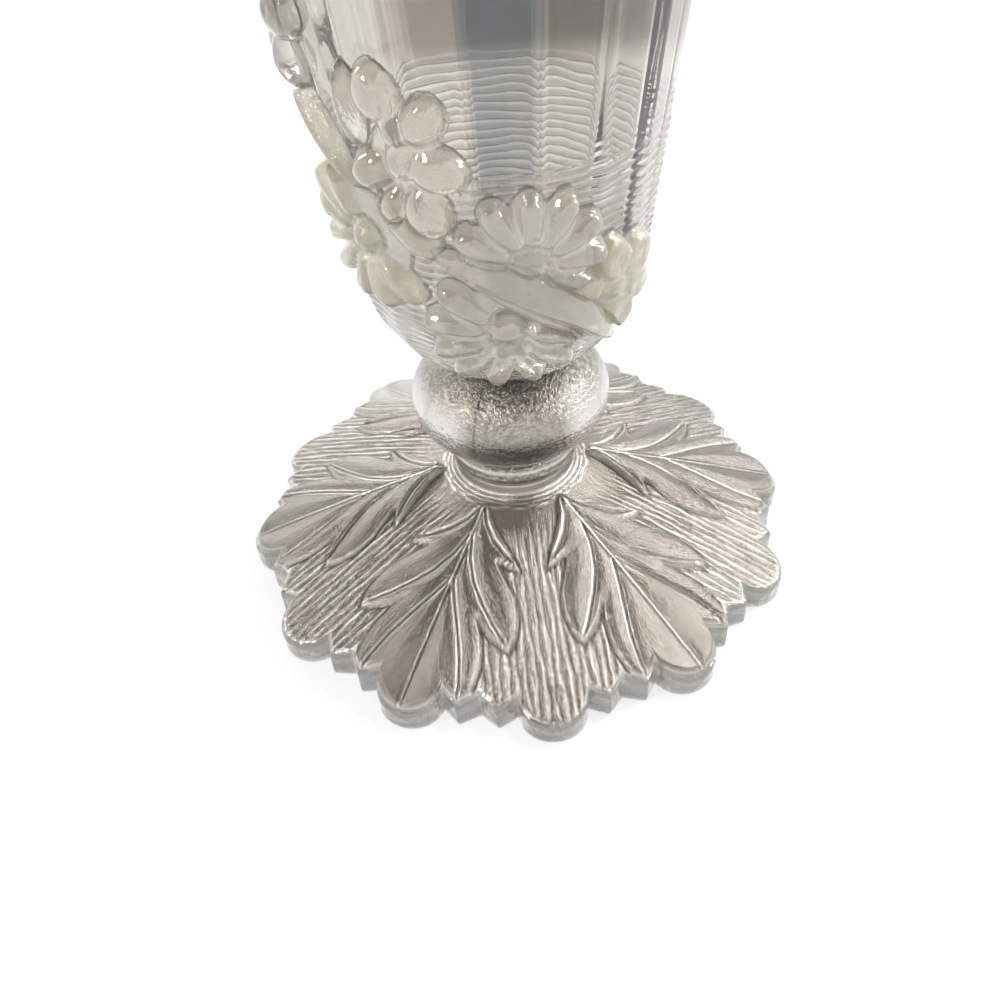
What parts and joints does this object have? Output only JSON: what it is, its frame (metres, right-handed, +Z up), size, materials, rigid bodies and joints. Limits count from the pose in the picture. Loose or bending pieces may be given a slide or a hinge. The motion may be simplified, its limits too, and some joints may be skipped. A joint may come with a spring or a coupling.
{
  "type": "bud vase",
  "caption": "Footed clear pressed-glass bud vase: panelled bowl with an applied flower garland, ball knop, collar and lobed leaf-moulded foot.",
  "frame": {"origin": "centre of the surface that the foot stands on", "axes": "+Z up along the vase's axis, -Y towards the front of the garland, +X to the right seen from the front"},
  "size_m": [0.0792, 0.0792, 0.16],
  "materials": {
    "foot_glass": "clear pressed glass with fine ribs and moulded leaves",
    "stem_glass": "clear glass with a faintly brushed skin",
    "bowl_glass": "clear glass, smooth panels above and fine threads below",
    "garland_glass": "clear glass with a soft, slightly milky skin"
  },
  "bodies": {
    "root": {"foot": "foot_glass", "collar": "stem_glass", "knop": "stem_glass", "bowl": "bowl_glass", "leaf_front": "garland_glass", "daisy_upper": "garland_glass", "daisy_lower": "garland_glass", "blossom_right": "garland_glass", "blossom_left": "garland_glass", "leaf_left": "garland_glass", "daisy_left": "garland_glass", "leaf_side": "garland_glass", "leaf_upper": "garland_glass", "blossom_side": "garland_glass", "leaf_curl": "garland_glass", "daisy_back": "garland_glass", "leaf_back": "garland_glass", "blossom_back": "garland_glass", "leaf_end": "garland_glass", "bud_end": "garland_glass"}
  },
  "joints": []
}
